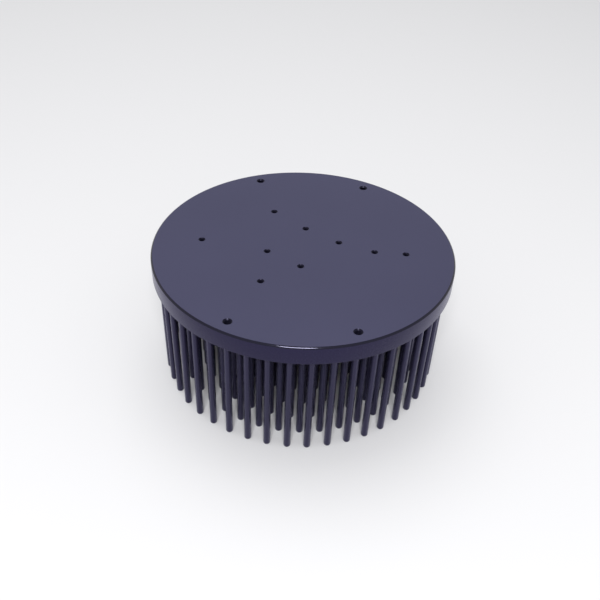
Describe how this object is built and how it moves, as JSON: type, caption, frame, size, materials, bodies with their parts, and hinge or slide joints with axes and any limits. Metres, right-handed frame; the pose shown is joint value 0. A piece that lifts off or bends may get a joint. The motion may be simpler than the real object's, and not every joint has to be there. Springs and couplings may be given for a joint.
{
  "type": "pin fin heat sink",
  "caption": "Round aluminium plate with a field of straight pin fins below and a flat mounting face with tapped blind holes above.",
  "frame": {"origin": "on the plate's axis, level with the pin tips", "axes": "+Z along the plate's axis, out of the mounting face; +X towards one hole of the ring of three; the pairs of rim holes lie towards +Y and -Y"},
  "size_m": [0.155, 0.155, 0.07],
  "materials": {
    "anodised_aluminium": "black anodised, satin"
  },
  "bodies": {
    "root": {"heat_sink": "anodised_aluminium"}
  },
  "joints": []
}
